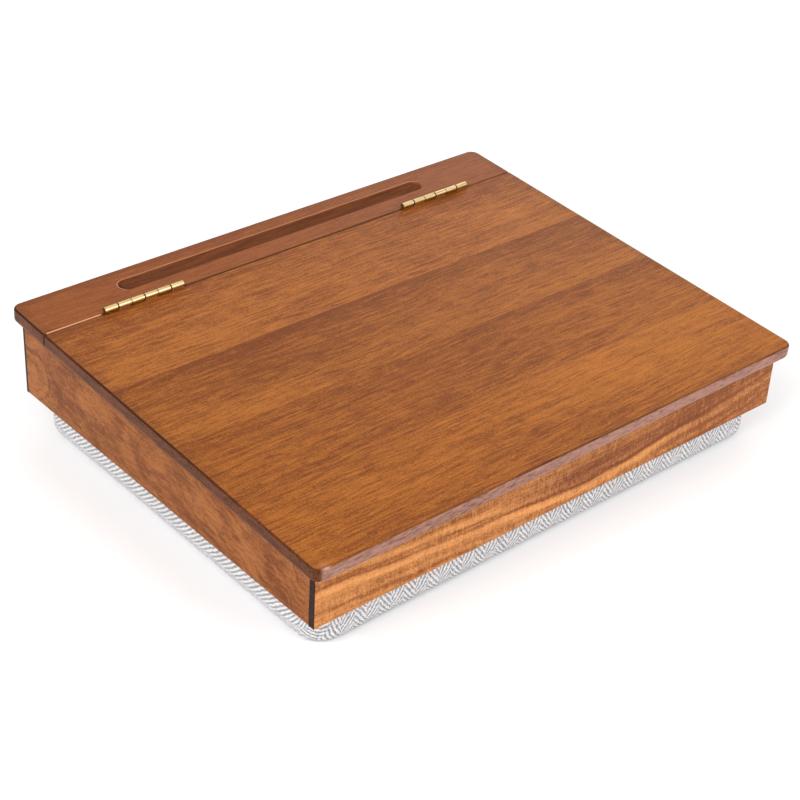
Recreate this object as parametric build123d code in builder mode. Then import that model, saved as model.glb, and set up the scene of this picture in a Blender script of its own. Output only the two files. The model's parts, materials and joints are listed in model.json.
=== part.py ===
"""Wooden lap desk: a sloping lid hinged to a fixed pen rail, on a shallow storage case with a cushion below.

Millimetres. +Z is up, +Y points to the hinge side, +X to the right of someone sitting at the desk.
The origin is on the surface that the cushion rests on, under the middle of the desk top.
"""

import math
import os

from build123d import *

# Desk top: the lid and the pen rail are cut from one outline
TOP_WIDTH = 406.0  # left to right
TOP_DEPTH = 320.0  # front to back, along the slope
TOP_THICKNESS = 10.5
SLOPE = 3.0  # degrees, rising to the back
FRONT_TOP_Z = 73.2  # writing surface at the front edge
RAIL_DEPTH = 40.5
JOINT_GAP = 1.0  # between lid and pen rail
CORNER_RADIUS = 7.0
UPPER_ROUND = 1.5
LOWER_ROUND = 3.5
ARRIS_ROUND = 0.7  # on the upper edges along the joint
STAVE_WIDTHS = {"lid_stave_rear": 75.5, "lid_stave_upper_middle": 68.0, "lid_stave_lower_middle": 66.0}

# Pen groove, cut with a round-nosed bit
GROOVE_LENGTH = 264.0
GROOVE_RADIUS = 6.5
GROOVE_DEPTH = 5.2
GROOVE_FROM_HINGE = 21.8  # from the hinge line to the middle of the groove
GROOVE_ARRIS = 0.3

# Case
SIDE_OVERHANG = 6.0
FRONT_OVERHANG = 9.0
BACK_OVERHANG = 4.0
WALL = 9.0
FRONT_LIP = 5.0  # end grain of the front panel that covers the side panels
BACK_LIP = 2.5
WALL_ARRIS = 0.5  # on the outer upright corners and the lower outer edges
BASE_THICKNESS = 5.0
BASE_REBATE = 3.5  # how far the base panel reaches under each wall

# Cushion
CUSHION_HEIGHT = 24.0
CUSHION_INSET = 5.0  # from the case at the sides and the front
CUSHION_BACK_INSET = 10.0
CUSHION_CORNER = 18.0
CUSHION_LOWER_ROUND = 6.0
CUSHION_UPPER_ROUND = 1.5
COVER_THICKNESS = 1.2
FLANGE_WIDTH = 28.0  # fabric turned in over the board
BOARD_THICKNESS = 3.0

# Hinges: short strip hinges with alternating knuckles, mortised into both edges of the joint
HINGE_LENGTH = 62.0
HINGE_CENTRE_X = 127.0
KNUCKLES = 6
BARREL_RADIUS = 2.0
BARREL_HEIGHT = 2.4  # pin axis above the writing surface
PIN_RADIUS = 1.1
PIN_CLEARANCE = 0.05  # in the lid's knuckles, which turn on the pin
KNUCKLE_GAP = 0.4
END_PLAY = 0.15  # the lid's knuckles stand this far to the right of the middle of their gaps
LEAF_THICKNESS = 0.9
LEAF_INSET = 0.3  # from the hinge plane to the inner face of each leaf
LEAF_DEPTH = 8.6  # lower edge of the leaves below the writing surface
LEAF_CLEARANCE = 0.4  # between a leaf and the other leaf's knuckles
MORTISE_PLAY = 1.6  # at the left end of each mortise

# Hinge screws, slotted and countersunk
SCREWS_PER_LEAF = 3
SCREW_PITCH = 23.0
SCREW_DROP = 5.2  # screw axis below the writing surface
SCREW_RADIUS = 0.9
SCREW_HEAD_RADIUS = 1.7
SCREW_LENGTH = 10.0
SLOT_WIDTH = 0.5
SLOT_DEPTH = 0.45

# Hidden fixings
DOWEL_RADIUS = 2.5
DOWEL_IN_RAIL = 6.0
DOWEL_IN_WALL = 14.0
DOWEL_BACK_PITCH = 120.0
DOWEL_SIDE_Y = 133.0
BRAD_RADIUS = 0.6
BRAD_HEAD_RADIUS = 1.2
BRAD_HEAD_HEIGHT = 0.6
BRAD_LENGTH = 18.0
BRAD_INSET = 1.7  # from the edge of the base panel
BRAD_PITCH = 85.0
STAPLE_WIDTH = 9.0
STAPLE_WIRE = 0.7
STAPLE_LEG = 3.1
STAPLE_INSET = 19.0  # from the edge of the cushion
STAPLE_PITCH = 60.0
TAPE_WIDTH = 30.0
TAPE_LENGTH = 210.0
TAPE_PITCH = 100.0

# Worked out from the above
slope_cos = math.cos(math.radians(SLOPE))
slope_sin = math.sin(math.radians(SLOPE))
front_reach = TOP_DEPTH - RAIL_DEPTH - JOINT_GAP / 2  # from the hinge line to the lid's front edge
back_reach = RAIL_DEPTH + JOINT_GAP / 2
hinge_y = (front_reach - back_reach) / 2 * slope_cos
hinge_z = FRONT_TOP_Z + front_reach * slope_sin
case_x = TOP_WIDTH / 2 - SIDE_OVERHANG
case_front = -TOP_DEPTH / 2 + FRONT_OVERHANG
case_back = TOP_DEPTH / 2 - BACK_OVERHANG
case_bottom = CUSHION_HEIGHT
case_middle = (case_front + case_back) / 2
base_width = 2 * (case_x - WALL + BASE_REBATE)
base_depth = case_back - case_front - 2 * (WALL - BASE_REBATE)
cushion_width = 2 * (case_x - CUSHION_INSET)
cushion_depth = case_back - case_front - CUSHION_INSET - CUSHION_BACK_INSET
cushion_y = case_middle + (CUSHION_INSET - CUSHION_BACK_INSET) / 2
flange_bottom = CUSHION_HEIGHT - COVER_THICKNESS
board_bottom = flange_bottom - BOARD_THICKNESS
knuckle_pitch = HINGE_LENGTH / KNUCKLES

# The writing surface: origin on the hinge line, X to the right, Y up the slope, Z out of the wood
surface = Plane(origin=(0, hinge_y, hinge_z), x_dir=(1, 0, 0), z_dir=(0, -slope_sin, slope_cos))
surface_axis = Axis(surface.origin, surface.z_dir)
underside = surface.offset(-TOP_THICKNESS)


def save(part, name):
    """Label a finished piece and write its file."""
    part.label = name
    export_step(part, f"parts/{name}.step")


def on_surface(x, y, z=0.0):
    """A plane parallel to the writing surface at a point given in that surface's own X, Y and Z."""
    return Plane(origin=surface.from_local_coords(Vector(x, y, z)), x_dir=surface.x_dir, z_dir=surface.z_dir)


def screw_face(x, side):
    """The inner face of a hinge leaf, facing the joint; side is 1 on the pen rail and -1 on the lid."""
    origin = surface.from_local_coords(Vector(x, side * LEAF_INSET, -SCREW_DROP))
    return Plane(origin=origin, x_dir=(1, 0, 0), z_dir=surface.y_dir * -side)


def dowel_places():
    """Planes on the underside of the pen rail, facing up, one at each dowel."""
    back_wall_y = case_back - WALL / 2
    side_wall_x = case_x - WALL / 2
    points = [(-DOWEL_BACK_PITCH, back_wall_y), (0, back_wall_y), (DOWEL_BACK_PITCH, back_wall_y)]
    points += [(-side_wall_x, DOWEL_SIDE_Y), (side_wall_x, DOWEL_SIDE_Y)]
    return [on_surface(x, (y - hinge_y) / slope_cos, -TOP_THICKNESS) for x, y in points]


os.makedirs("parts", exist_ok=True)

# The whole top before it is cut into lid and pen rail
with BuildPart() as top_blank:
    with BuildSketch(on_surface(0, (back_reach - front_reach) / 2)):
        RectangleRounded(TOP_WIDTH, TOP_DEPTH, CORNER_RADIUS)
    extrude(amount=-TOP_THICKNESS)
    fillet(top_blank.faces().sort_by(surface_axis)[0].edges(), LOWER_ROUND)
    fillet(top_blank.faces().sort_by(surface_axis)[-1].edges(), UPPER_ROUND)


def keep_strip(low, high):
    """Inside a part: keep only what lies between two distances up the slope from the hinge line."""
    with BuildSketch(on_surface(0, (low + high) / 2)) as strip:
        Rectangle(TOP_WIDTH, high - low)
    extrude(strip.sketch, amount=-TOP_THICKNESS, mode=Mode.INTERSECT)


def round_joint_arris(part, side):
    """Inside a part: ease the upper edge along the joint; side is 1 on the pen rail and -1 on the lid."""
    away_from_joint = Axis(surface.origin, surface.y_dir * side)
    joint_face = part.faces().filter_by(away_from_joint).sort_by(away_from_joint)[0]
    fillet(joint_face.edges().sort_by(surface_axis)[-1], ARRIS_ROUND)


def cut_mortises(side):
    """Inside a part: recess the edge for both hinge leaves and drill for their screws."""
    leaf_back = LEAF_INSET + LEAF_THICKNESS
    for x in (-HINGE_CENTRE_X, HINGE_CENTRE_X):
        with BuildSketch(on_surface(x - MORTISE_PLAY / 2, side * leaf_back / 2)) as mortise:
            Rectangle(HINGE_LENGTH + MORTISE_PLAY, leaf_back)
        extrude(mortise.sketch, amount=-LEAF_DEPTH, mode=Mode.SUBTRACT)
        with Locations(screw_face(x, side)), GridLocations(SCREW_PITCH, 1, SCREWS_PER_LEAF, 1):
            Hole(SCREW_RADIUS, SCREW_LENGTH)


# Lid: four boards glued edge to edge, the rear one carrying the hinges
stave_rear = -JOINT_GAP / 2
for name, width in STAVE_WIDTHS.items():
    with BuildPart() as stave:
        add(top_blank.part)
        keep_strip(stave_rear - width, stave_rear)
        if name == "lid_stave_rear":
            round_joint_arris(stave, -1)
            cut_mortises(-1)
    save(stave.part, name)
    stave_rear -= width

with BuildPart() as stave_front:
    add(top_blank.part)
    keep_strip(-front_reach, stave_rear)
save(stave_front.part, "lid_stave_front")


# Pen rail
with BuildPart() as rail_dowels:
    with Locations(*dowel_places()):
        Cylinder(DOWEL_RADIUS, DOWEL_IN_RAIL, align=(Align.CENTER, Align.CENTER, Align.MIN))
        Cylinder(DOWEL_RADIUS, DOWEL_IN_WALL, align=(Align.CENTER, Align.CENTER, Align.MAX))
save(rail_dowels.part, "rail_dowels")

with BuildPart() as pen_rail:
    add(top_blank.part)
    keep_strip(JOINT_GAP / 2, back_reach)
    round_joint_arris(pen_rail, 1)
    groove_straight = GROOVE_LENGTH - 2 * GROOVE_RADIUS
    groove_rise = GROOVE_RADIUS - GROOVE_DEPTH
    with Locations(on_surface(0, GROOVE_FROM_HINGE, groove_rise)):
        Cylinder(GROOVE_RADIUS, groove_straight, rotation=(0, 90, 0), mode=Mode.SUBTRACT)
        with Locations((-groove_straight / 2, 0), (groove_straight / 2, 0)):
            Sphere(GROOVE_RADIUS, mode=Mode.SUBTRACT)
    groove_rim = pen_rail.faces().sort_by(surface_axis)[-1].inner_wires()[0]
    fillet(groove_rim.edges(), GROOVE_ARRIS)
    cut_mortises(1)
    add(rail_dowels.part, mode=Mode.SUBTRACT)
save(pen_rail.part, "pen_rail")


# Base panel, let into the undersides of the four walls and nailed up into them
def add_brad():
    """Inside a part: one brad, its head flush with the underside of the base panel."""
    above = (Align.CENTER, Align.CENTER, Align.MIN)
    Cylinder(BRAD_HEAD_RADIUS, BRAD_HEAD_HEIGHT, align=above)
    Cylinder(BRAD_RADIUS, BRAD_LENGTH, align=above)


with BuildPart() as base_brads:
    brad_x = base_width / 2 - BRAD_INSET
    brad_y = base_depth / 2 - BRAD_INSET
    with Locations(Plane((0, case_middle, case_bottom))):
        with GridLocations(BRAD_PITCH, 2 * brad_y, 5, 2):
            add_brad()
        with GridLocations(2 * brad_x, BRAD_PITCH, 2, 3):
            add_brad()
save(base_brads.part, "base_brads")

with BuildPart() as base_blank:
    with BuildSketch(Plane((0, case_middle, case_bottom))):
        Rectangle(base_width, base_depth)
    extrude(amount=BASE_THICKNESS)

with BuildPart() as base_panel:
    add(base_blank.part)
    add(base_brads.part, mode=Mode.SUBTRACT)
save(base_panel.part, "base_panel")


def cut_wall():
    """Inside a wall: slope its top to meet the desk top, and cut it for the base panel, brads and dowels."""
    split(bisect_by=underside, keep=Keep.BOTTOM)
    add(base_blank.part, mode=Mode.SUBTRACT)
    add(base_brads.part, mode=Mode.SUBTRACT)
    add(rail_dowels.part, mode=Mode.SUBTRACT)


def wall_sketch(x_low, x_high, y_low, y_high):
    """A rectangle at the bottom of the case, from its edges."""
    with BuildSketch(Plane(((x_low + x_high) / 2, (y_low + y_high) / 2, case_bottom))) as outline:
        Rectangle(x_high - x_low, y_high - y_low)
    return outline.sketch


# Side panels, housed in the ends of the front and back panels
for name, side in (("left_side", -1), ("right_side", 1)):
    outer_x = side * case_x
    inner_x = side * (case_x - WALL)
    with BuildPart() as side_panel:
        x_low, x_high = sorted((outer_x, inner_x))
        extrude(wall_sketch(x_low, x_high, case_front + FRONT_LIP, case_back - BACK_LIP), amount=FRONT_TOP_Z)
        outer_face = side_panel.faces().sort_by(Axis.X)[0 if side < 0 else -1]
        fillet(outer_face.edges().sort_by(Axis.Z)[0], WALL_ARRIS)
        cut_wall()
    save(side_panel.part, name)

# Front and back panels: full width, with a rebate at each end that leaves a lip of end grain
for name, y_low, y_high, rebate_low, rebate_high in (
    ("front_panel", case_front, case_front + WALL, case_front + FRONT_LIP, case_front + WALL),
    ("back_panel", case_back - WALL, case_back, case_back - WALL, case_back - BACK_LIP),
):
    with BuildPart() as end_panel:
        extrude(wall_sketch(-case_x, case_x, y_low, y_high), amount=FRONT_TOP_Z)
        outer_face = end_panel.faces().sort_by(Axis.Y)[0 if name == "front_panel" else -1]
        fillet(outer_face.edges().filter_by(Axis.Z) + outer_face.edges().sort_by(Axis.Z)[:1], WALL_ARRIS)
        for x_low, x_high in ((-case_x, WALL - case_x), (case_x - WALL, case_x)):
            rebate = wall_sketch(x_low, x_high, rebate_low, rebate_high)
            extrude(rebate, amount=FRONT_TOP_Z, mode=Mode.SUBTRACT)
        cut_wall()
    save(end_panel.part, name)


# Hinges
def knuckle_spans(side):
    """Start and end, along the hinge, of each knuckle of one leaf; the pen rail's leaf has the first one."""
    first = 0 if side == 1 else 1
    play = 0 if side == 1 else END_PLAY
    left_end = (KNUCKLE_GAP - HINGE_LENGTH) / 2 + play
    starts = [left_end + i * knuckle_pitch for i in range(first, KNUCKLES, 2)]
    return [(start, start + knuckle_pitch - KNUCKLE_GAP) for start in starts]


def make_leaf(hinge_x, side, bore_radius):
    """One hinge leaf with its knuckles; side is 1 on the pen rail and -1 on the lid."""
    barrel = surface.from_local_coords(Vector(hinge_x, 0, BARREL_HEIGHT))
    leaf_middle = side * (LEAF_INSET + LEAF_THICKNESS / 2)
    leaf_low = -BARREL_HEIGHT - LEAF_DEPTH
    leaf_high = -BARREL_RADIUS - LEAF_CLEARANCE
    with BuildPart() as leaf:
        with BuildSketch(Plane(origin=barrel, x_dir=surface.y_dir, z_dir=(1, 0, 0))):
            with Locations((leaf_middle, (leaf_low + leaf_high) / 2)):
                Rectangle(LEAF_THICKNESS, leaf_high - leaf_low)
        extrude(amount=HINGE_LENGTH / 2 - KNUCKLE_GAP / 2, both=True)
        with Locations(screw_face(hinge_x, side)), GridLocations(SCREW_PITCH, 1, SCREWS_PER_LEAF, 1):
            CounterSinkHole(SCREW_RADIUS, SCREW_HEAD_RADIUS, LEAF_THICKNESS, counter_sink_angle=90)
        for start, end in knuckle_spans(side):
            knuckle_end = Plane(origin=barrel + Vector(start, 0, 0), x_dir=surface.y_dir, z_dir=(1, 0, 0))
            with BuildSketch(knuckle_end):
                Circle(BARREL_RADIUS)
                with Locations((leaf_middle, leaf_high / 2)):
                    Rectangle(LEAF_THICKNESS, -leaf_high)
                Circle(bore_radius, mode=Mode.SUBTRACT)
            extrude(amount=end - start)
    return leaf.part


def make_screws(hinge_x, side):
    """The slotted countersunk screws of one leaf."""
    head_height = SCREW_HEAD_RADIUS - SCREW_RADIUS
    top = (Align.CENTER, Align.CENTER, Align.MAX)
    with BuildPart() as screws:
        with Locations(screw_face(hinge_x, side)), GridLocations(SCREW_PITCH, 1, SCREWS_PER_LEAF, 1):
            Cylinder(SCREW_RADIUS, SCREW_LENGTH, align=top)
            Cone(SCREW_RADIUS, SCREW_HEAD_RADIUS, head_height, align=top)
            Box(2 * SCREW_HEAD_RADIUS, SLOT_WIDTH, SLOT_DEPTH, align=top, mode=Mode.SUBTRACT)
    return screws.part


for name, hinge_x in (("left_hinge", -HINGE_CENTRE_X), ("right_hinge", HINGE_CENTRE_X)):
    save(make_leaf(hinge_x, 1, PIN_RADIUS), f"{name}_rail_leaf")
    save(make_leaf(hinge_x, -1, PIN_RADIUS + PIN_CLEARANCE), f"{name}_lid_leaf")
    save(make_screws(hinge_x, 1), f"{name}_rail_screws")
    save(make_screws(hinge_x, -1), f"{name}_lid_screws")
    with BuildPart(on_surface(hinge_x, 0, BARREL_HEIGHT)) as hinge_pin:
        Cylinder(PIN_RADIUS, HINGE_LENGTH - KNUCKLE_GAP, rotation=(0, 90, 0))
    save(hinge_pin.part, f"{name}_pin")


# Cushion: a fabric cover pulled over a foam pad and a board, and stapled to the board
def cushion_outline(height, inset):
    """The cushion's plan at a height, drawn in from its outer edge."""
    corner = max(CUSHION_CORNER - inset, 1)
    with BuildSketch(Plane((0, cushion_y, height))) as outline:
        RectangleRounded(cushion_width - 2 * inset, cushion_depth - 2 * inset, corner)
    return outline.sketch


def add_staple(turn):
    """Inside a part: one staple, its crown flush with the top of the cushion, turned about Z by degrees."""
    below = (Align.CENTER, Align.CENTER, Align.MAX)
    with Locations(Location((0, 0, 0), (0, 0, turn))):
        Box(STAPLE_WIDTH, STAPLE_WIRE, STAPLE_WIRE, align=below)
        with GridLocations(STAPLE_WIDTH - STAPLE_WIRE, 1, 2, 1):
            Box(STAPLE_WIRE, STAPLE_WIRE, STAPLE_LEG, align=below)


with BuildPart() as cover_staples:
    staple_x = cushion_width / 2 - STAPLE_INSET
    staple_y = cushion_depth / 2 - STAPLE_INSET
    with Locations(Plane((0, cushion_y, CUSHION_HEIGHT))):
        with GridLocations(STAPLE_PITCH, 2 * staple_y, 6, 2):
            add_staple(0)
        with GridLocations(2 * staple_x, STAPLE_PITCH, 2, 4):
            add_staple(90)
save(cover_staples.part, "cover_staples")

with BuildPart() as foam_pad:
    extrude(cushion_outline(COVER_THICKNESS, COVER_THICKNESS), amount=board_bottom - COVER_THICKNESS)
    fillet(foam_pad.faces().sort_by(Axis.Z)[0].edges(), CUSHION_LOWER_ROUND - COVER_THICKNESS)
save(foam_pad.part, "foam_pad")

with BuildPart() as cushion_board:
    extrude(cushion_outline(board_bottom, COVER_THICKNESS), amount=BOARD_THICKNESS)
    add(cover_staples.part, mode=Mode.SUBTRACT)
save(cushion_board.part, "cushion_board")

with BuildPart() as cushion_cover:
    extrude(cushion_outline(0, 0), amount=CUSHION_HEIGHT)
    fillet(cushion_cover.faces().sort_by(Axis.Z)[0].edges(), CUSHION_LOWER_ROUND)
    fillet(cushion_cover.faces().sort_by(Axis.Z)[-1].edges(), CUSHION_UPPER_ROUND)
    add(foam_pad.part, mode=Mode.SUBTRACT)
    extrude(cushion_outline(board_bottom, COVER_THICKNESS), amount=BOARD_THICKNESS, mode=Mode.SUBTRACT)
    extrude(cushion_outline(flange_bottom, FLANGE_WIDTH), amount=COVER_THICKNESS, mode=Mode.SUBTRACT)
    add(cover_staples.part, mode=Mode.SUBTRACT)
save(cushion_cover.part, "cushion_cover")

with BuildPart() as adhesive_strips:
    with BuildSketch(Plane((0, cushion_y, flange_bottom))):
        with GridLocations(TAPE_PITCH, 1, 3, 1):
            Rectangle(TAPE_WIDTH, TAPE_LENGTH)
    extrude(amount=COVER_THICKNESS)
save(adhesive_strips.part, "adhesive_strips")
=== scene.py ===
"""Looks of the wooden lap desk: lacquered acacia, brass strip hinges and a herringbone cushion."""

import json
import math

import bmesh
import bpy
from mathutils import Matrix, Vector, noise


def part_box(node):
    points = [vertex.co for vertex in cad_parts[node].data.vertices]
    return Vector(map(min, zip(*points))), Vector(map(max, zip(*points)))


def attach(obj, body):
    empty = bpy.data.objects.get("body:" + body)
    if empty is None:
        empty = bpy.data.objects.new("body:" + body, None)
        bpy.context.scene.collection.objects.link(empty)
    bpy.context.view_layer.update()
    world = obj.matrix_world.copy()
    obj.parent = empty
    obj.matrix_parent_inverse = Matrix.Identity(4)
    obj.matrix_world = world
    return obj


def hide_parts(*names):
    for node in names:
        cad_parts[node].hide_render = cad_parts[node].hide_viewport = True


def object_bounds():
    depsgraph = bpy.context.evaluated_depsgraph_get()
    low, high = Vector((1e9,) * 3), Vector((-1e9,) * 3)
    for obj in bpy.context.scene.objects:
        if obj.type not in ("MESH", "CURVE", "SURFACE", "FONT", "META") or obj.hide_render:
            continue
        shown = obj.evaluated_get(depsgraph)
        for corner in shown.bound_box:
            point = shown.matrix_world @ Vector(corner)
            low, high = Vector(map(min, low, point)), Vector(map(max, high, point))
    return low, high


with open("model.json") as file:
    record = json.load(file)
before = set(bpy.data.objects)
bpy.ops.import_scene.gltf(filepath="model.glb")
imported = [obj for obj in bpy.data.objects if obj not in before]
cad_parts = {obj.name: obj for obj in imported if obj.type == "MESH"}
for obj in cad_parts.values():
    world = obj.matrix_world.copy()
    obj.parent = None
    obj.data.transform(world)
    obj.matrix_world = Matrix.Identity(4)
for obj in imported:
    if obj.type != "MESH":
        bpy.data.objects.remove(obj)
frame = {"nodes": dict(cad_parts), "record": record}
cad_low, cad_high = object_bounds()

# Camera, in metres and degrees
CAMERA_PLACE = (-0.7111, -0.7730, 0.7076)
CAMERA_YAW = 42.47  # to the right of +Y
CAMERA_PITCH = 33.11  # below the horizon
CAMERA_ROLL = 3.40
CAMERA_LENS = 83.77

# Places on the desk, from the frame
TOP_WIDTH = cad_high[0] - cad_low[0]
HINGE_Y, HINGE_Z = frame["record"]["behaviour"]["joints"][0]["pos_m"][1:]
LEFT_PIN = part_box("left_hinge_pin")
RIGHT_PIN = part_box("right_hinge_pin")
FRONT_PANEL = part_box("front_panel")
LEFT_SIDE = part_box("left_side")
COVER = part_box("cushion_cover")

# Sizes of the CAD parts, in metres
SLOPE = math.radians(3.0)  # of the desk's top
LID_REACH = 0.2790  # along the slope, from the hinges' axis to the front edge
RAIL_REACH = 0.0410  # along the slope, from the hinges' axis to the rear edge
GROOVE_MIDDLE = 0.0218  # along the slope, from the hinges' axis
GROOVE_HALF_LENGTH = 0.1320
GROOVE_HALF_WIDTH = 0.0065
BARREL_HEIGHT = 0.0024  # of the hinges' axis over the top's surface
BARREL_RADIUS = 0.0020
KNUCKLES = 6
KNUCKLE_GAP = 0.0004
KNUCKLE_PITCH = (LEFT_PIN[1][0] - LEFT_PIN[0][0] + KNUCKLE_GAP) / KNUCKLES


def add_camera():
    yaw, pitch, roll = (math.radians(a) for a in (CAMERA_YAW, CAMERA_PITCH, CAMERA_ROLL))
    forward = Vector((math.sin(yaw) * math.cos(pitch), math.cos(yaw) * math.cos(pitch), -math.sin(pitch)))
    level = Vector((math.cos(yaw), -math.sin(yaw), 0))
    upright = level.cross(forward)
    right = math.cos(roll) * level + math.sin(roll) * upright
    up = math.cos(roll) * upright - math.sin(roll) * level
    data = bpy.data.cameras.new("camera")
    data.lens = CAMERA_LENS
    data.sensor_width = 36
    camera = bpy.data.objects.new("camera", data)
    axes = Matrix((right, up, -forward)).transposed().to_4x4()
    camera.matrix_world = Matrix.Translation(CAMERA_PLACE) @ axes
    bpy.context.collection.objects.link(camera)
    bpy.context.scene.camera = camera


def add_area_light(name, place, size, power):
    """A round soft box aimed at the middle of the desk."""
    data = bpy.data.lights.new(name, "AREA")
    data.shape = "DISK"
    data.size = size
    data.energy = power
    lamp = bpy.data.objects.new(name, data)
    lamp.location = place
    lamp.rotation_euler = (Vector((0, 0, 0.05)) - Vector(place)).to_track_quat("-Z", "Y").to_euler()
    bpy.context.collection.objects.link(lamp)


def add_studio():
    world = bpy.data.worlds.new("studio")
    world.use_nodes = True
    background = world.node_tree.nodes["Background"]
    background.inputs["Color"].default_value = (1, 1, 1, 1)
    background.inputs["Strength"].default_value = 0.92
    bpy.context.scene.world = world
    bpy.context.scene.view_settings.view_transform = "Standard"
    bpy.ops.mesh.primitive_plane_add(size=12)
    floor = bpy.context.object
    floor.name = "floor"
    paint = bpy.data.materials.new("floor_paint")
    paint.use_nodes = True
    shader = paint.node_tree.nodes["Principled BSDF"]
    shader.inputs["Base Color"].default_value = (0.92, 0.92, 0.92, 1)
    shader.inputs["Roughness"].default_value = 0.9
    floor.data.materials.append(paint)
    add_area_light("key", (-1.4, -0.3, 1.1), 1.2, 17)
    add_area_light("fill", (0.5, -1.6, 1.1), 1.1, 12)
    add_area_light("rim", (1.7, 1.4, 0.9), 1.2, 4)


add_camera()
add_studio()


# Node helpers
class Tree:
    """Short forms for building one material's nodes."""

    def __init__(self, name):
        self.material = bpy.data.materials.new(name)
        self.material.use_nodes = True
        self.nodes = self.material.node_tree.nodes
        self.links = self.material.node_tree.links
        self.shader = self.nodes["Principled BSDF"]
        coordinates = self.nodes.new("ShaderNodeTexCoord")
        self.place = coordinates.outputs["Object"]  # metres, in the desk's own frame
        self.x, self.y, self.z = self.split(self.place)
        self.facing_x, self.facing_y, self.facing_z = self.split(coordinates.outputs["Normal"])

    def put(self, socket, value):
        """Feed a socket with another socket or with a plain value."""
        if isinstance(value, bpy.types.NodeSocket):
            self.links.new(value, socket)
        elif isinstance(value, tuple) and len(value) == 3 and socket.type == "RGBA":
            socket.default_value = (*value, 1)
        else:
            socket.default_value = value

    def math(self, operation, a, b=0.0, c=0.0):
        node = self.nodes.new("ShaderNodeMath")
        node.operation = operation
        for socket, value in zip(node.inputs, (a, b, c)):
            self.put(socket, value)
        return node.outputs[0]

    def add(self, *terms):
        """Sum of sockets and numbers; a term may be a pair (value, weight)."""
        total = 0.0
        for term in terms:
            value, weight = term if isinstance(term, tuple) else (term, 1.0)
            total = self.math("MULTIPLY_ADD", value, weight, total)
        return total

    def times(self, a, b):
        return self.math("MULTIPLY", a, b)

    def absolute(self, value):
        return self.math("ABSOLUTE", value)

    def length(self, a, b):
        """Length of a step of a one way and b square to it."""
        return self.math("SQRT", self.add(self.times(a, a), self.times(b, b)))

    def vector(self, x, y, z):
        node = self.nodes.new("ShaderNodeCombineXYZ")
        for socket, value in zip(node.inputs, (x, y, z)):
            self.put(socket, value)
        return node.outputs[0]

    def split(self, vector):
        node = self.nodes.new("ShaderNodeSeparateXYZ")
        self.put(node.inputs[0], vector)
        return node.outputs[0], node.outputs[1], node.outputs[2]

    def noise(self, vector, scale, detail=2.0, roughness=0.5, seed=0.0):
        """Noise about 0.5, with its own scale along each coordinate, in cycles per metre."""
        mapping = self.nodes.new("ShaderNodeMapping")
        self.put(mapping.inputs["Vector"], vector)
        mapping.inputs["Scale"].default_value = scale
        mapping.inputs["Location"].default_value = (seed * 1.7, seed * 3.1, seed * 2.3)
        node = self.nodes.new("ShaderNodeTexNoise")
        self.put(node.inputs["Vector"], mapping.outputs[0])
        node.inputs["Scale"].default_value = 1.0
        node.inputs["Detail"].default_value = detail
        node.inputs["Roughness"].default_value = roughness
        return node.outputs["Fac"]

    def noise_line(self, value, detail, roughness=0.5):
        """Noise along a line, for bands of uneven width."""
        node = self.nodes.new("ShaderNodeTexNoise")
        node.noise_dimensions = "1D"
        self.put(node.inputs["W"], value)
        node.inputs["Scale"].default_value = 1.0
        node.inputs["Detail"].default_value = detail
        node.inputs["Roughness"].default_value = roughness
        return node.outputs["Fac"]

    def span(self, value, low, high, to_low=0.0, to_high=1.0):
        """Map a value from one range to another, smoothly and clamped."""
        node = self.nodes.new("ShaderNodeMapRange")
        node.interpolation_type = "SMOOTHSTEP"
        self.put(node.inputs["Value"], value)
        for key, number in (("From Min", low), ("From Max", high), ("To Min", to_low), ("To Max", to_high)):
            node.inputs[key].default_value = number
        return node.outputs[0]

    def between(self, value, low, high, soft):
        """1 inside a range, 0 outside it, with soft shoulders."""
        rising = self.span(value, low - soft, low + soft)
        falling = self.span(value, high - soft, high + soft, 1, 0)
        return self.times(rising, falling)

    def ramp(self, value, stops):
        """A colour ramp from (position, colour) pairs."""
        node = self.nodes.new("ShaderNodeValToRGB")
        elements = node.color_ramp.elements
        while len(elements) < len(stops):
            elements.new(0.5)
        for element, (position, colour) in zip(elements, stops):
            element.position = position
            element.color = (*colour, 1)
        self.put(node.inputs[0], value)
        return node.outputs[0]

    def mix(self, factor, a, b, blend="MIX"):
        node = self.nodes.new("ShaderNodeMix")
        node.data_type = "RGBA"
        node.blend_type = blend
        self.put(node.inputs[0], factor)
        self.put(node.inputs[6], a)
        self.put(node.inputs[7], b)
        return node.outputs[2]

    def bump(self, height, distance, strength):
        node = self.nodes.new("ShaderNodeBump")
        node.inputs["Distance"].default_value = distance
        node.inputs["Strength"].default_value = strength
        self.put(node.inputs["Height"], height)
        self.put(self.shader.inputs["Normal"], node.outputs[0])

    def finish(self, colour, roughness, **fixed):
        self.put(self.shader.inputs["Base Color"], colour)
        self.put(self.shader.inputs["Roughness"], roughness)
        for key, value in fixed.items():
            self.shader.inputs[key.replace("_", " ")].default_value = value
        return self.material


def srgb(red, green, blue):
    """A colour given as it looks on a screen, 0 to 255, as linear light."""
    parts = [value / 255 for value in (red, green, blue)]
    return tuple(((c + 0.055) / 1.055) ** 2.4 if c > 0.04 else c / 12.92 for c in parts)


def shade(colour, *factors):
    """A colour made lighter or darker, by one factor or by one for each channel."""
    factors = factors * 3 if len(factors) == 1 else factors
    return tuple(c * f for c, f in zip(colour, factors))


# Wood
LID = srgb(140, 79, 26)
RAIL = srgb(130, 70, 30)
SIDE = srgb(130, 75, 34)
FRONT = srgb(176, 113, 62)
END_GRAIN = srgb(77, 39, 14)
EDGE = srgb(142, 102, 88)
WALL_ENDS = srgb(36, 18, 10)
# The arrises' colour: partly stain, partly painted shade.
ARRIS_STAIN_AND_SHADE = srgb(46, 20, 8)
# A painted highlight, for the front-left corner's arris.
CORNER_SHINE = srgb(214, 186, 176)
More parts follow.
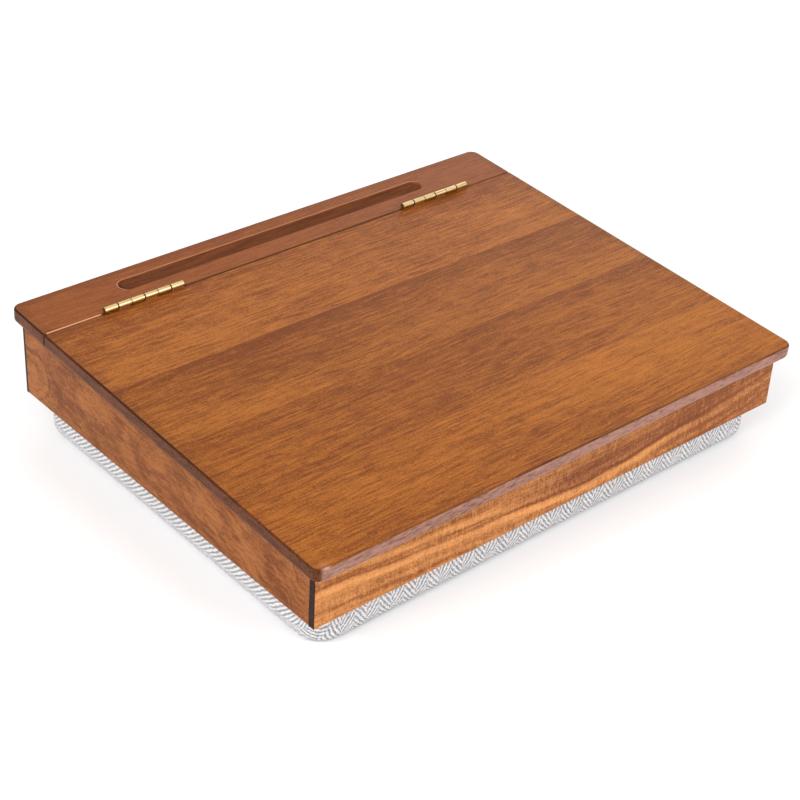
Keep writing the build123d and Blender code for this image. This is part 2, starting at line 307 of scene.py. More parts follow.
# A painted highlight, for the groove's rim.
RIM_HIGHLIGHT = srgb(200, 146, 108)
# Partly bare wood and partly a painted highlight, for the joint's arris.
BARE_WOOD_AND_HIGHLIGHT = srgb(206, 152, 108)
KNOT = srgb(52, 22, 12)


class Wood(Tree):
    """A board's wood: its grain runs along its first coordinate, and its face is across the third."""

    def __init__(self, name, along, across, through, seed):
        super().__init__(name)
        self.seed = seed
        self.end_facing = {"x": self.facing_x, "y": self.facing_y}[along]
        axes = {"x": self.x, "y": self.y, "z": self.z}
        along, across, through = axes[along], axes[across], axes[through]
        self.board = self.vector(along, across, through)
        sway = self.noise(self.board, (5, 12, 12), detail=2, seed=seed)
        waver = self.noise(self.board, (55, 70, 70), detail=1, seed=seed)
        wandering = self.add(across, (sway, 0.012), (waver, 0.0022))
        self.grain = self.vector(along, wandering, through)
        self.fibre = self.noise(self.grain, (42, 640, 640), detail=4, roughness=0.75, seed=seed)
        self.streak = self.noise(self.grain, (7, 240, 240), detail=3, roughness=0.55, seed=seed + 1)
        self.grit = self.noise(self.grain, (700, 1200, 1200), detail=2, roughness=0.7, seed=seed + 6)
        self.broad = self.noise(self.grain, (4, 50, 50), detail=2, seed=seed + 2)
        self.tone = self.noise(self.board, (9, 16, 16), detail=2, seed=seed + 3)
        leaning = self.vector(self.add(along, (across, 0.5)), across, through)
        self.figure = self.noise(leaning, (130, 34, 34), detail=3, roughness=0.6, seed=seed + 5)
        pores = self.noise(self.grain, (170, 1500, 1500), detail=2, seed=seed + 4)
        self.pore = self.span(pores, 0.60, 0.70)

    def level(self, fibre=1.7, streak=0.5, broad=0.4, tone=0.7, figure=0.5, grit=0.6):
        """How light the figure is, about 0.5, from its layers' weights."""
        middle = 0.5 - 0.5 * (fibre + streak + broad + tone + figure + grit)
        layers = ((self.fibre, fibre), (self.streak, streak), (self.broad, broad), (self.tone, tone))
        return self.add(middle, *layers, (self.figure, figure), (self.grit, grit))

    def tinted(self, level, colour, contrast):
        """The wood's colours from a level: redder where dark, yellower where light."""
        dark = shade(colour, 1 - contrast * 1.20, 1 - contrast * 1.55, 1 - contrast * 1.8)
        light = shade(colour, 1 + contrast * 0.9, 1 + contrast * 1.15, 1 + contrast * 1.3)
        bright = shade(colour, 1 + contrast * 1.6, 1 + contrast * 2.1, 1 + contrast * 2.6)
        tinted = self.ramp(level, [(0.22, dark), (0.5, colour), (0.78, light), (1.0, bright)])
        return self.mix(self.times(self.pore, 0.4), tinted, shade(colour, 0.40, 0.30, 0.20))

    def end_grain(self, colour):
        """Stain soaked into the open ends of the fibres."""
        speckle = self.noise(self.place, (900, 900, 900), detail=3, roughness=0.7, seed=self.seed)
        patch = self.noise(self.place, (90, 90, 300), detail=2, seed=self.seed)
        level = self.add(-0.6, (speckle, 1.5), (patch, 0.7))
        return self.ramp(level, [(0.3, shade(colour, 0.55)), (0.75, shade(colour, 2.0, 1.9, 2.1))])

    def lacquered(self, colour, specular=0.12):
        height = self.add((self.fibre, 0.6), (self.streak, 0.5), (self.pore, -1.0))
        self.bump(height, 0.00006, 0.5)
        return self.finish(colour, self.add(0.34, (self.streak, 0.16)), Specular_IOR_Level=specular)

    def as_wall(self, colour):
        """Finish a wall of the case: dark end grain on its two ends."""
        endways = self.span(self.absolute(self.end_facing), 0.5, 0.8)
        return self.lacquered(self.mix(endways, colour, self.end_grain(WALL_ENDS)), specular=0.09)


def board_face(wood, node, colour, contrast, lean, tone_and_sheen_right):
    """A top board's figure, darker along its glue line where lean is below 0."""
    front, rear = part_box(node)[0][1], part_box(node)[1][1]
    from_middle = wood.add((wood.y, 2 / (rear - front)), -(rear + front) / (rear - front))
    # Lighter towards the right end: partly the wood's own tone, partly a painted sheen.
    paler = wood.span(wood.x, -0.05, TOP_WIDTH / 2, 0.0, tone_and_sheen_right)
    at_glue_line = wood.span(wood.y, rear - 0.018, rear, 0.0, min(lean, 0.0) * 1.3)
    at_glue_line = wood.times(at_glue_line, wood.span(wood.x, -0.10, 0.10, 1.0, 0.4))
    figure = wood.level(fibre=2.2, streak=0.4, broad=0.35, tone=0.5, figure=0.3, grit=1.3)
    return wood.tinted(wood.add(figure, (from_middle, lean), paler, at_glue_line), colour, contrast)


def board_edges(wood, face, from_hinge):
    """The face with worn edges, end grain, arrises darkened partly by stain and partly by painted shade, and a
    painted highlight on the front-left corner, on the top's outline only.
    """
    at_end = wood.span(wood.absolute(wood.x), TOP_WIDTH / 2 - 0.008, TOP_WIDTH / 2 - 0.006)
    at_front = wood.span(from_hinge, 0.005 - LID_REACH, 0.007 - LID_REACH, 1, 0)
    at_back = wood.span(from_hinge, RAIL_REACH - 0.007, RAIL_REACH - 0.005)
    on_outline = wood.math("MAXIMUM", at_end, wood.math("MAXIMUM", at_front, at_back))

    dashes = wood.noise(wood.place, (150, 700, 700), detail=4, roughness=0.75, seed=wood.seed)
    patches = wood.noise(wood.place, (18, 30, 90), detail=2, seed=wood.seed)
    paler_right = wood.span(wood.x, -0.15, TOP_WIDTH / 2, 0, 0.12)
    worn_edge = wood.add(-0.97, (dashes, 2.4), (patches, 0.6), paler_right)
    stops = [(0.2, shade(EDGE, 0.55, 0.48, 0.45)), (0.5, EDGE), (0.8, shade(EDGE, 1.35))]
    edge = wood.ramp(worn_edge, stops)
    sideways = wood.span(wood.absolute(wood.facing_y), 0.62, 0.85)
    off_joint = wood.span(wood.absolute(from_hinge), 0.0015, 0.0025)
    body = wood.mix(wood.times(wood.times(sideways, off_joint), on_outline), face, edge)
    endways = wood.span(wood.absolute(wood.facing_x), 0.25, 0.60)
    body = wood.mix(wood.times(endways, on_outline), body, wood.end_grain(END_GRAIN))

    facing_up = wood.add((wood.facing_z, math.cos(SLOPE)), (wood.facing_y, -math.sin(SLOPE)))
    # The top's rounded arris, darkened partly by stain and partly by painted shade, broken up by noise,
    # strongest at the left end and weakest near the front-left corner.
    arris = wood.times(wood.between(facing_up, 0.45, 0.985, 0.03), on_outline)
    arris_patchiness = wood.span(wood.noise(wood.place, (14, 14, 60), detail=2, seed=wood.seed), 0.35, 0.6, 0.6, 1.0)
    along_left, along_front = wood.add(wood.x, TOP_WIDTH / 2), wood.add(from_hinge, LID_REACH)
    arris_strength = wood.span(wood.math("MAXIMUM", along_left, along_front), 0.04, 0.20, 0.45, 1.0)
    arris_strength = wood.times(arris_strength, wood.span(along_left, 0.02, 0.06, 1.0, 0.65))
    body = wood.mix(wood.times(arris, wood.times(arris_patchiness, arris_strength)), body, ARRIS_STAIN_AND_SHADE)
    # A painted highlight on the arris at the front-left corner.
    near_left = wood.between(along_left, 0.005, 0.009, 0.002)
    corner = wood.times(near_left, wood.span(along_front, 0.0045, 0.0065, 1, 0))
    return wood.mix(wood.times(wood.times(arris, corner), 0.45), body, CORNER_SHINE)


def top_board(node, colour, seed, contrast, lean=0.0, tone_and_sheen_right=0.0):
    """One board of the desk top: its wood, its colour, and the distance up the slope from the hinges' axis.

    lean makes the board lighter towards its rear edge, or darker if it is below 0.
    The last argument makes it lighter towards its right end, partly the wood's own tone and partly a painted
    sheen."""
    wood = Wood(f"{node}_acacia", "x", "y", "z", seed)
    face = board_face(wood, node, colour, contrast, lean, tone_and_sheen_right)
    up_slope = wood.add((wood.y, math.cos(SLOPE)), (wood.z, math.sin(SLOPE)))
    from_hinge = wood.add(up_slope, -(HINGE_Y * math.cos(SLOPE) + HINGE_Z * math.sin(SLOPE)))
    return wood, board_edges(wood, face, from_hinge), from_hinge


def lid_wood(node, colour, seed, lean, tone_and_sheen_right):
    wood, body, _ = top_board(node, colour, seed, 0.33, lean, tone_and_sheen_right)
    return wood.lacquered(body)


def groove_wood(wood, body, from_hinge, below):
    """The pen groove: painted shade inside it, deeper down, and a painted highlight on its rim, along its far
    side and round its left end.
    """
    reach = GROOVE_HALF_WIDTH + 0.0005
    # Painted shade inside the groove, darker deeper down, with streaks along the grain.
    across_groove = wood.between(from_hinge, GROOVE_MIDDLE - reach, GROOVE_MIDDLE + reach, 0.0003)
    groove_shade = wood.times(across_groove, wood.span(below, 0.0003, 0.0016))
    groove_grain = wood.noise(wood.grain, (30, 480, 480), detail=4, roughness=0.75, seed=9.0)
    stops = [(0.3, shade(RAIL, 0.26, 0.24, 0.30)), (0.7, shade(RAIL, 0.78, 0.80, 1.05))]
    body = wood.mix(wood.times(groove_shade, 0.9), body, wood.ramp(groove_grain, stops))
    # A painted highlight on the groove's rim, on its far side and its left end.
    past_end = wood.add(wood.absolute(wood.x), GROOVE_HALF_WIDTH - GROOVE_HALF_LENGTH)
    off_middle = wood.add(from_hinge, -GROOVE_MIDDLE)
    to_middle = wood.length(wood.math("MAXIMUM", past_end, 0.0), off_middle)
    on_rim = wood.between(to_middle, GROOVE_HALF_WIDTH - 0.0001, GROOVE_HALF_WIDTH + 0.0005, 0.0002)
    rim = wood.times(on_rim, wood.span(below, 0.0003, 0.0006, 1, 0))
    left_end = wood.span(wood.x, 0.001 - GROOVE_HALF_LENGTH, 0.003 - GROOVE_HALF_LENGTH, 1, 0)
    far_rim = wood.math("MAXIMUM", wood.span(off_middle, 0.002, 0.005), left_end)
    return wood.mix(wood.times(wood.times(rim, far_rim), 0.55), body, RIM_HIGHLIGHT)


def joint_wood(wood, body, from_hinge, below):
    """The rail's face in the joint: painted shade on it, eased past the right hinge, and a pale line left of
    the left hinge, partly worn bare wood and partly a painted highlight.
    """
    # Painted shade in the joint's gap, eased past the right hinge.
    facing_lid = wood.span(wood.facing_y, -0.2, -0.35)
    joint_face = wood.times(wood.span(from_hinge, 0.0009, 0.0014, 1, 0), facing_lid)
    less_shade = wood.span(wood.x, RIGHT_PIN[1][0], RIGHT_PIN[1][0] + 0.003)
    less_shade = wood.times(less_shade, wood.span(below, 0.002, 0.003, 1, 0))
    body = wood.mix(wood.times(joint_face, wood.add(1.0, (less_shade, -0.9))), body, shade(RAIL, 0.4))
    # A pale line along the top of the joint face, chiefly left of the left hinge: partly worn bare wood,
    # partly a painted highlight.
    off_end = wood.span(wood.x, 0.002 - TOP_WIDTH / 2, 0.003 - TOP_WIDTH / 2)
    worn = wood.times(wood.span(below, 0.0005, 0.0011, 1, 0), off_end)
    worn = wood.times(worn, wood.span(wood.x, LEFT_PIN[0][0], LEFT_PIN[1][0], 1, 0.1))
    return wood.mix(wood.times(joint_face, worn), body, BARE_WOOD_AND_HIGHLIGHT)


def rail_wood():
    """The pen rail: redder than the lid, with its groove and its face in the joint."""
    wood, body, from_hinge = top_board("pen_rail", RAIL, 8.0, contrast=0.19)
    surface = HINGE_Z * math.cos(SLOPE) - HINGE_Y * math.sin(SLOPE) - BARREL_HEIGHT
    below = wood.add((wood.z, -math.cos(SLOPE)), (wood.y, math.sin(SLOPE)), surface)
    body = groove_wood(wood, body, from_hinge, below)
    return wood.lacquered(joint_wood(wood, body, from_hinge, below))


# Clouds in the side walls' figure, in metres: distance from the rear end, height above the lower edge,
# half length and half height
PALE_CLOUDS = (
    (0.012, 0.013, 0.016, 0.011), (0.080, 0.030, 0.016, 0.010), (0.118, 0.021, 0.006, 0.012),
    (0.151, 0.028, 0.011, 0.009), (0.199, 0.024, 0.018, 0.012), (0.239, 0.021, 0.016, 0.013),
    (0.292, 0.027, 0.016, 0.008),
)
RED_CLOUDS = (
    (0.046, 0.022, 0.022, 0.022), (0.103, 0.025, 0.008, 0.007), (0.133, 0.022, 0.008, 0.010),
    (0.172, 0.008, 0.016, 0.006), (0.216, 0.027, 0.004, 0.009), (0.262, 0.022, 0.006, 0.011),
    (0.280, 0.009, 0.011, 0.009),
)


def clouds(wood, places, from_rear, up):
    """Soft-edged clouds, as one mask."""
    mask = 0.0
    for along, height, half_along, half_up in places:
        off_along = wood.add((from_rear, 1 / half_along), -along / half_along)
        off_up = wood.add((up, 1 / half_up), -height / half_up)
        mask = wood.math("MAXIMUM", mask, wood.span(wood.length(off_along, off_up), 0.55, 1.35, 1, 0))
    return mask


SWIRL = (0.008, 0.018)  # the knot's place, from the rear end and above the lower edge


def side_wood(name, seed, shift):
    """Left and right walls: reddish brown with paler clouds, and a swirl by a knot near the back.

    shift moves the clouds towards the front, so that the two walls differ."""
    wood = Wood(name, "y", "z", "x", seed)
    bend_along = wood.add((wood.noise(wood.place, (45, 45, 45), detail=3, seed=seed + 5), 0.028), -0.014)
    bend_up = wood.add((wood.noise(wood.place, (45, 45, 45), detail=3, seed=seed + 8), 0.018), -0.009)
    from_rear = wood.add((wood.y, -1.0), LEFT_SIDE[1][1] - shift, bend_along)
    up = wood.add(wood.z, -LEFT_SIDE[0][2], bend_up)
    pale, red = clouds(wood, PALE_CLOUDS, from_rear, up), clouds(wood, RED_CLOUDS, from_rear, up)

    from_swirl = wood.length(wood.add(from_rear, -SWIRL[0]), wood.add(up, -SWIRL[1]))
    rings = wood.noise_line(wood.times(from_swirl, 300), detail=1)
    near_swirl = wood.span(from_swirl, 0.018, 0.032, 1, 0)

    lean_along = wood.add((wood.y, -0.89), (wood.z, -0.46))
    lean_across = wood.add((wood.y, -0.46), (wood.z, 0.89))
    leaning = wood.vector(wood.add(lean_along, bend_along), wood.add(lean_across, (bend_up, 1.5)), wood.x)
    ripple = wood.noise(leaning, (36, 270, 60), detail=4, roughness=0.72, seed=seed + 6)
    rippled = wood.span(wood.noise(wood.board, (14, 20, 20), seed=seed + 7), 0.40, 0.56, 0.5, 1.0)
    flecks = wood.noise(wood.grain, (110, 420, 420), detail=3, roughness=0.75, seed=seed + 9)

    calm = wood.level(fibre=1.4, streak=0.3, broad=0.3, tone=0.3, figure=0.2, grit=1.5)
    ripples = wood.times(rippled, wood.add((ripple, 2.4), -1.2))
    swirl = wood.times(near_swirl, wood.add((rings, 1.8), -0.80))
    level = wood.add(calm, (flecks, 1.4), -0.70, ripples, swirl, (pale, 0.23), (red, -0.12))
    body = wood.tinted(level, SIDE, 0.29)
    return wood.as_wall(wood.mix(wood.times(red, 0.6), body, (0.95, 0.87, 0.88), "MULTIPLY"))


# The front wall's figure, in metres from its left end and above its lower edge
LOW_POINT = 0.240  # where the streaks hang lowest
LOW_ROUND = 0.040  # how wide their bend is there
SMALL_KNOT = (0.218, 0.0365)


def front_wood():
    """Front wall: golden, with sagging streaks, cross ripples, and dark heartwood past its middle."""
    wood = Wood("front_acacia", "x", "z", "y", 17.0)
    right = wood.add(wood.x, -FRONT_PANEL[0][0])
    up = wood.add(wood.z, -FRONT_PANEL[0][2])
    past_low = wood.add(right, -LOW_POINT)
    sag = wood.length(past_low, LOW_ROUND)
    sway = wood.noise(wood.board, (12, 22, 22), detail=2, seed=3.0)
    lifted = wood.math("MAXIMUM", past_low, 0.0)
    slant = wood.add(up, (sag, -0.085), (lifted, -0.040), (sway, 0.012), -0.006)

    bands = wood.noise_line(wood.times(slant, 150), detail=3, roughness=0.55)
    along_slant = wood.vector(wood.x, slant, wood.y)
    broken = wood.noise(along_slant, (16, 300, 300), detail=4, roughness=0.65, seed=4.0)
    ripple = wood.noise(wood.board, (480, 110, 110), detail=3, roughness=0.75, seed=5.0)
    rippled = wood.span(wood.noise(wood.board, (16, 40, 40), seed=6.0), 0.40, 0.60, 0.5, 1.0)
    ripple = wood.times(wood.add(ripple, -0.5), wood.times(rippled, 1.5))
    calm = wood.level(fibre=0.8, streak=0.2, broad=0.0, tone=0.2, figure=0.3, grit=1.1)
    level = wood.add(calm, (bands, 0.7), (broken, 0.7), -0.70, ripple)

    def streak(low, high, soft, fade):
        """One streak, between two heights on the slant, faded along the wall."""
        return wood.times(wood.between(slant, low, high, soft), fade)

    on_left = wood.span(right, 0.12, 0.17, 1, 0)
    pale = streak(-0.0006, 0.0046, 0.0026, wood.span(right, 0.28, 0.34, 1, 0.1))
    upper_pale = streak(0.0112, 0.0152, 0.0022, on_left)
    dark = streak(0.0054, 0.0072, 0.0014, wood.span(right, 0.26, 0.34, 1, 0.2))
    upper_dark = streak(0.0086, 0.0102, 0.0014, on_left)
    lower_dark = streak(-0.0112, -0.0082, 0.0020, wood.span(right, 0.14, 0.20, 1, 0.3))
    level = wood.add(level, (pale, 0.21), (upper_pale, 0.24), (dark, -0.36), (upper_dark, -0.36), 0.05)
    level = wood.add(level, (lower_dark, -0.28), wood.span(right, 0.25, 0.33, 0.0, -0.24))
    # Darker at the top of the left part, under the lid's overhang: partly dark grain, partly painted shadow.
    upper_left_grain_and_shadow = wood.times(on_left, wood.span(up, 0.020, 0.030))
    level = wood.add(level, (upper_left_grain_and_shadow, -0.14), wood.span(right, 0.0, 0.12, 0.02, 0.0))

    heart = wood.times(wood.span(slant, 0.0048, 0.0080), wood.span(right, 0.13, 0.22, 0.0, 1.0))
    heart = wood.times(heart, wood.span(wood.add(up, (past_low, 0.03)), 0.018, 0.028, 1.0, 0.35))
    level = wood.add(level, (heart, -0.45), (wood.times(heart, bands), 0.5))
    body = wood.tinted(level, FRONT, 0.38)
    body = wood.mix(heart, body, (0.68, 0.60, 0.70), "MULTIPLY")

    knot_x, knot_up = wood.add(right, -SMALL_KNOT[0]), wood.add(up, -SMALL_KNOT[1])
    off_line = wood.absolute(wood.add(knot_up, (knot_x, 0.35)))
    off_knot = wood.add(off_line, (wood.absolute(knot_x), 0.22))
    return wood.as_wall(wood.mix(wood.span(off_knot, 0.0006, 0.0016, 0.85, 0), body, KNOT))


def back_wood():
    wood = Wood("back_acacia", "x", "z", "y", 23.0)
    return wood.as_wall(wood.tinted(wood.level(fibre=1.1, streak=0.9, broad=0.9), SIDE, 0.32))


# Metal, plywood, foam and tape
VENEER = 0.0011  # thickness of one layer of plywood


def brass(name, seed, pin):
    """Rolled brass, with painted shade in the gaps between a hinge's knuckles."""
    tree = Tree(name)
    smear = tree.noise(tree.place, (60, 1400, 1400), detail=3, seed=seed)
    spots = tree.noise(tree.place, (1300, 1300, 1300), detail=2, seed=seed)
    stops = [(0.3, srgb(196, 162, 110)), (0.5, srgb(226, 196, 142)), (0.7, srgb(244, 222, 176))]
    colour = tree.ramp(smear, stops)
    colour = tree.mix(tree.span(spots, 0.62, 0.78, 0.0, 0.4), colour, srgb(132, 92, 48))
    # Painted shade in the gaps between the knuckles, on the barrel only.
    from_start = tree.add(tree.x, KNUCKLE_GAP / 2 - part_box(pin)[0][0])
    from_end = tree.math("PINGPONG", from_start, KNUCKLE_PITCH)
    wide_gap = tree.span(from_end, KNUCKLE_PITCH - 0.0007, KNUCKLE_PITCH - 0.0003)
    narrow_gap = tree.span(from_end, 0.0002, 0.0005, 0.6, 0)
    off_axis = tree.length(tree.add(tree.y, -HINGE_Y), tree.add(tree.z, -HINGE_Z))
    on_barrel = tree.span(off_axis, BARREL_RADIUS + 0.0004, BARREL_RADIUS + 0.0008, 1, 0)
    gap_shade = tree.times(tree.math("MAXIMUM", wide_gap, narrow_gap), on_barrel)
    colour = tree.mix(gap_shade, colour, srgb(52, 34, 18))
    tree.bump(smear, 0.00002, 0.4)
    return tree.finish(colour, tree.add(0.24, (spots, 0.2)), Metallic=1.0)


def steel(name):
    tree = Tree(name)
    grain = tree.noise(tree.place, (1200, 1200, 200), detail=3)
    colour = tree.ramp(grain, [(0.3, srgb(150, 150, 152)), (0.7, srgb(196, 196, 198))])
    tree.bump(grain, 0.00002, 0.4)
    return tree.finish(colour, tree.add(0.25, (grain, 0.25)), Metallic=1.0)


def plywood(name):
    """Birch plywood: pale faces with long grain, and layered edges."""
    tree = Tree(name)
    long_grain = tree.noise(tree.place, (14, 300, 300), detail=4, roughness=0.6)
    flakes = tree.noise(tree.place, (160, 700, 700), detail=3, roughness=0.7)
    broad = tree.noise(tree.place, (4, 14, 14), detail=2)
    grain = tree.add(-0.5, (long_grain, 0.6), (flakes, 0.8), (broad, 0.6))
    layer = tree.span(tree.math("PINGPONG", tree.z, VENEER), 0.0004, 0.0007)
    stops = [(0.3, srgb(182, 148, 106)), (0.5, srgb(204, 174, 132)), (0.7, srgb(218, 192, 152))]
    face = tree.ramp(grain, stops)
    cut = tree.mix(layer, srgb(214, 186, 142), srgb(150, 112, 74))
    on_face = tree.span(tree.absolute(tree.facing_z), 0.4, 0.6)
    tree.bump(grain, 0.0001, 0.5)
    return tree.finish(tree.mix(on_face, cut, face), tree.add(0.5, (grain, 0.2)))


def speckled(name, dark, light, scale, roughness, bump):
    """Fine two-colour speckle: foam, tape and unfinished dowels."""
    tree = Tree(name)
    grain = tree.noise(tree.place, scale, detail=3, roughness=0.6)
    tree.bump(grain, bump, 0.7)
    colour = tree.ramp(grain, [(0.3, dark), (0.7, light)])
    return tree.finish(colour, tree.add(roughness - 0.1, (grain, 0.2)))


def paint(node, material):
    mesh = frame["nodes"][node].data
    mesh.materials.clear()
    mesh.materials.append(material)


def paint_wood():
    staves = {  # tint, how much lighter towards the rear edge, and how much lighter towards the right end, partly wood tone and partly painted sheen
        "lid_stave_rear": ((1.03, 1.03, 1.15), -0.10, 0.0),
        "lid_stave_upper_middle": ((0.95, 0.94, 0.90), -0.15, 0.03),
        "lid_stave_lower_middle": ((0.95, 0.92, 0.77), -0.04, 0.03),
        "lid_stave_front": ((1.01, 0.98, 0.79), 0.08, 0.24),
    }
    for seed, (node, (tint, lean, tone_and_sheen_right)) in enumerate(staves.items(), 1):
        paint(node, lid_wood(node, shade(LID, *tint), float(seed), lean, tone_and_sheen_right))
    paint("pen_rail", rail_wood())
    paint("left_side", side_wood("left_side_acacia", 11.0, 0.0))
    paint("right_side", side_wood("right_side_acacia", 13.0, 0.035))
    paint("front_panel", front_wood())
    paint("back_panel", back_wood())
    birch = plywood("birch_plywood")
    paint("base_panel", birch)
    paint("cushion_board", birch)
    beech = speckled("dowel_beech", srgb(176, 140, 98), srgb(206, 172, 128), (300, 300, 60), 0.6, 0.0001)
    paint("rail_dowels", beech)


def paint_fittings():
    for side in ("left", "right"):
        for seed, piece in enumerate(("rail_leaf", "lid_leaf", "pin", "rail_screws", "lid_screws"), 1):
            paint(f"{side}_hinge_{piece}", brass(f"{side}_{piece}_brass", float(seed), f"{side}_hinge_pin"))
    zinc = steel("zinc_steel")
    paint("base_brads", zinc)
    paint("cover_staples", zinc)
    foam = speckled("cream_foam", srgb(214, 206, 184), srgb(238, 232, 214), (900, 900, 900), 0.95, 0.0004)
    paint("foam_pad", foam)
    tape = speckled("foam_tape", srgb(206, 206, 202), srgb(232, 232, 228), (1500, 1500, 1500), 0.7, 0.0001)
    paint("adhesive_strips", tape)


paint_wood()
paint_fittings()


# Cushion cover
COLUMN_PAIR = 0.0187  # width of one rising and one falling column of the herringbone
TWILL_ACROSS = 0.0034  # spacing of the twill lines across a column
TWILL_ALONG = 0.0046  # and along it
YARN = 0.0014
COLUMN_SHIFT = 0.0044  # of the whole pattern, towards +X
END_FACE_START = 0.0105  # height on the end faces where their pattern has the underside's phase
COVER_CORNER = 0.018
LOWER_ROUND = 0.006
UPPER_ROUND = 0.0015
FLANGE = 0.027  # fabric turned in over the board
FIT = 0.0004  # the cover is cut this much smaller, and the filling stretches it
CELLS_X, CELLS_Y = 64, 48
INNER_INSET = 0.040  # from the outline to the plain grid in the middle of the underside
COVER_THICKNESS = 0.0010
MOST_SWELL = 0.0022
SWELL_FRAMES = 20
PULL_DEPTH = 0.0004


def cover_outline(inset):
    """Evenly spread points round the cover's rounded outline, drawn in by an inset."""
    half_x = (COVER[1][0] - COVER[0][0]) / 2 - inset
    half_y = (COVER[1][1] - COVER[0][1]) / 2 - inset
    middle_y = (COVER[1][1] + COVER[0][1]) / 2
    corner = max(COVER_CORNER - inset, 0.0)

    def from_side(straight, steps):
        """Distances along half a side and half its corner, from the middle of the side."""
        length = straight + corner * math.pi / 4
        for i in range(steps):
            run = length * i / steps
            if run <= straight:
                yield run, 0.0
            else:
                turn = (run - straight) / corner
                yield straight + corner * math.sin(turn), corner * (1 - math.cos(turn))

    along_x = list(from_side(half_x - corner, CELLS_X // 2))
    along_y = list(from_side(half_y - corner, CELLS_Y // 2))
    diagonal = corner * (1 - math.sqrt(0.5))
    quarter = [(a, -half_y + b) for a, b in along_x]
    quarter += [(half_x - diagonal, -half_y + diagonal)]
    quarter += [(half_x - b, -a) for a, b in reversed(along_y[1:])]
    points = list(quarter) + [(half_x, 0.0)]
    points += [(x, -y) for x, y in reversed(quarter)]
    points += [(-x, y) for x, y in reversed(points[1:-1])]
    return [(x, y + middle_y) for x, y in points]


def cover_profile():
    """Inset and height of each row of the cover, from the underside up and over onto the board."""
    top = COVER[1][2] - 0.0001
    rows = [(inset, 0.0) for inset in (INNER_INSET, 0.034, 0.028, 0.023, 0.018, 0.014, 0.010)]
    for degrees in (0, 30, 60, 90):
        angle = math.radians(degrees)
        rows.append((LOWER_ROUND * (1 - math.sin(angle)), LOWER_ROUND * (1 - math.cos(angle))))
    rows += [(0.0, height) for height in (0.0095, 0.0130, 0.0165, 0.0200)]
    rows += [(0.0, top - UPPER_ROUND), (UPPER_ROUND * 0.3, top - UPPER_ROUND * 0.3), (UPPER_ROUND, top)]
    rows += [(inset, top) for inset in (0.007, 0.0125, 0.018, 0.0225, FLANGE)]
    return [(inset + FIT, height) for inset, height in rows]


def make_cover_mesh():
    """The cover as one sheet: a plain grid in the middle of the underside, and rows of cells round it."""
    mesh = bmesh.new()
    rows = []
    for inset, height in cover_profile():
        rows.append([mesh.verts.new((x, y, height)) for x, y in cover_outline(inset)])
    inner = rows[0]
    count = len(inner)
    lows, highs = Vector(inner[0].co), Vector(inner[0].co)
    for vert in inner:
        lows = Vector(map(min, lows, vert.co))
        highs = Vector(map(max, highs, vert.co))
    grid = {}
    for vert in inner:
        column = round((vert.co.x - lows.x) / (highs.x - lows.x) * CELLS_X)
        row = round((vert.co.y - lows.y) / (highs.y - lows.y) * CELLS_Y)
        grid[column, row] = vert
    for column in range(1, CELLS_X):
        for row in range(1, CELLS_Y):
            x = lows.x + (highs.x - lows.x) * column / CELLS_X
            y = lows.y + (highs.y - lows.y) * row / CELLS_Y
            grid[column, row] = mesh.verts.new((x, y, 0.0))
    for column in range(CELLS_X):
        for row in range(CELLS_Y):
            corners = ((column, row), (column, row + 1), (column + 1, row + 1), (column + 1, row))
            mesh.faces.new([grid[c] for c in corners])
    for lower, upper in zip(rows, rows[1:]):
        for i in range(count):
            j = (i + 1) % count
            mesh.faces.new((lower[i], lower[j], upper[j], upper[i]))
    bmesh.ops.recalc_face_normals(mesh, faces=mesh.faces)
    data = bpy.data.meshes.new("herringbone_cover")
    mesh.to_mesh(data)
    mesh.free()
    cover = bpy.data.objects.new("herringbone_cover", data)
    bpy.context.collection.objects.link(cover)
    return cover


def stuff_cover(cover):
    """Let the filling swell the cover's free sides, held by the board above and by its rest below."""
    start = [vert.co.copy() for vert in cover.data.vertices]
    held = cover.vertex_groups.new(name="held")
    loose_top = COVER[1][2] - UPPER_ROUND * 1.1
    for index, place in enumerate(start):
        if place.z > loose_top or place.z < 1e-6:
            held.add([index], 1.0, "REPLACE")
    cloth = cover.modifiers.new("cloth", "CLOTH")
    cloth.settings.quality = 6
    cloth.settings.mass = 0.25
    cloth.settings.tension_stiffness = 12
    cloth.settings.compression_stiffness = 12
    cloth.settings.shear_stiffness = 4
    cloth.settings.bending_stiffness = 0.6
    cloth.settings.use_pressure = True
    cloth.settings.uniform_pressure_force = 4
    cloth.settings.vertex_group_mass = "held"
    cloth.settings.effector_weights.gravity = 0
    cloth.collision_settings.use_collision = False
    cloth.point_cache.frame_start = 1
    cloth.point_cache.frame_end = SWELL_FRAMES
    scene = bpy.context.scene
    for number in range(1, SWELL_FRAMES + 1):
        scene.frame_set(number)
    swollen = cover.evaluated_get(bpy.context.evaluated_depsgraph_get()).data
    places = [vert.co.copy() for vert in swollen.vertices]
    cover.modifiers.remove(cloth)
    scene.frame_set(1)
    for vert, before, after in zip(cover.data.vertices, start, places):
        move = after - before
        if move.length > MOST_SWELL:
            move *= MOST_SWELL / move.length
        vert.co = before + move
        vert.co.z = max(vert.co.z, 0.0)


def settle_cover(cover):
    """Small uneven pulls in the fabric of the sides."""
    cover.data.update()
    normals = [vert.normal.copy() for vert in cover.data.vertices]
    for vert, normal in zip(cover.data.vertices, normals):
        height = min(vert.co.z / COVER[1][2], 1.0)
        loose = max(0.0, math.sin(math.pi * height))
        wave = noise.noise(vert.co * 38) + 0.5 * noise.noise(vert.co * 95)
        vert.co += normal * (wave * loose * PULL_DEPTH)


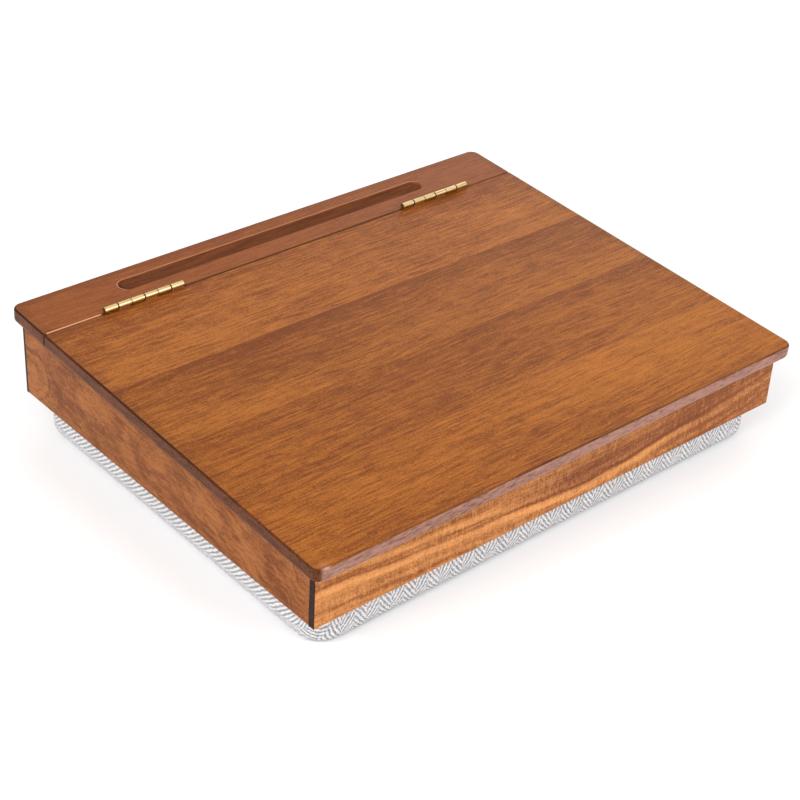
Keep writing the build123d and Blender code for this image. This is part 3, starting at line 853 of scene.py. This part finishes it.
def herringbone():
    """Grey and off-white herringbone twill, unfolded over the cushion's edges."""
    tree = Tree("herringbone_twill")
    wobble = tree.noise(tree.place, (90, 90, 90), detail=2)
    up_end_faces = tree.times(tree.facing_x, tree.add(tree.z, -END_FACE_START))
    across = tree.add(tree.x, up_end_faces, (wobble, 0.0006), -COLUMN_SHIFT)
    along = tree.add(tree.y, tree.times(tree.facing_y, tree.z), (wobble, -0.0006))
    positive = tree.add(across, 3.0)  # kept above 0, where the columns would turn round
    side = tree.math("PINGPONG", positive, COLUMN_PAIR / 2)
    falling = tree.math("GREATER_THAN", tree.math("FRACT", tree.times(positive, 1 / COLUMN_PAIR)), 0.5)
    phase = tree.add((side, 1 / TWILL_ACROSS), (along, 1 / TWILL_ALONG), (falling, 0.5))
    uneven = tree.noise(tree.place, (420, 420, 420), detail=3, roughness=0.75)
    phase = tree.add(phase, (uneven, 0.9))
    wave = tree.math("SINE", tree.times(phase, 2 * math.pi))
    warp = tree.math("SINE", tree.times(across, 2 * math.pi / YARN))
    weft = tree.math("SINE", tree.times(along, 2 * math.pi / YARN))
    yarns = tree.times(warp, weft)
    slubs = tree.noise(tree.place, (800, 800, 800), detail=2, roughness=0.6)
    light = tree.span(tree.add(wave, (yarns, 0.8), (slubs, 4.4), -2.2), -0.8, 0.5)
    fuzz = tree.noise(tree.place, (1500, 1500, 1500), detail=3, roughness=0.7)
    pale = tree.ramp(fuzz, [(0.3, srgb(204, 202, 203)), (0.7, srgb(236, 235, 236))])
    grey = tree.ramp(fuzz, [(0.3, srgb(112, 110, 114)), (0.7, srgb(156, 154, 158))])
    colour = tree.mix(light, grey, pale)
    height = tree.add((light, 0.7), (yarns, 0.25), (fuzz, 0.3))
    tree.bump(height, 0.00035, 0.8)
    return tree.finish(colour, tree.add(0.82, (fuzz, 0.15)), Specular_IOR_Level=0.25, Sheen_Weight=0.15)


def add_cushion():
    cover = make_cover_mesh()
    stuff_cover(cover)
    settle_cover(cover)
    cover.data.materials.append(herringbone())
    cover.data.shade_smooth()
    thick = cover.modifiers.new("thickness", "SOLIDIFY")
    thick.thickness = COVER_THICKNESS
    thick.offset = -1
    smooth = cover.modifiers.new("smooth", "SUBSURF")
    smooth.levels = 1
    smooth.render_levels = 1
    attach(cover, "case")
    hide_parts("cushion_cover")


add_cushion()
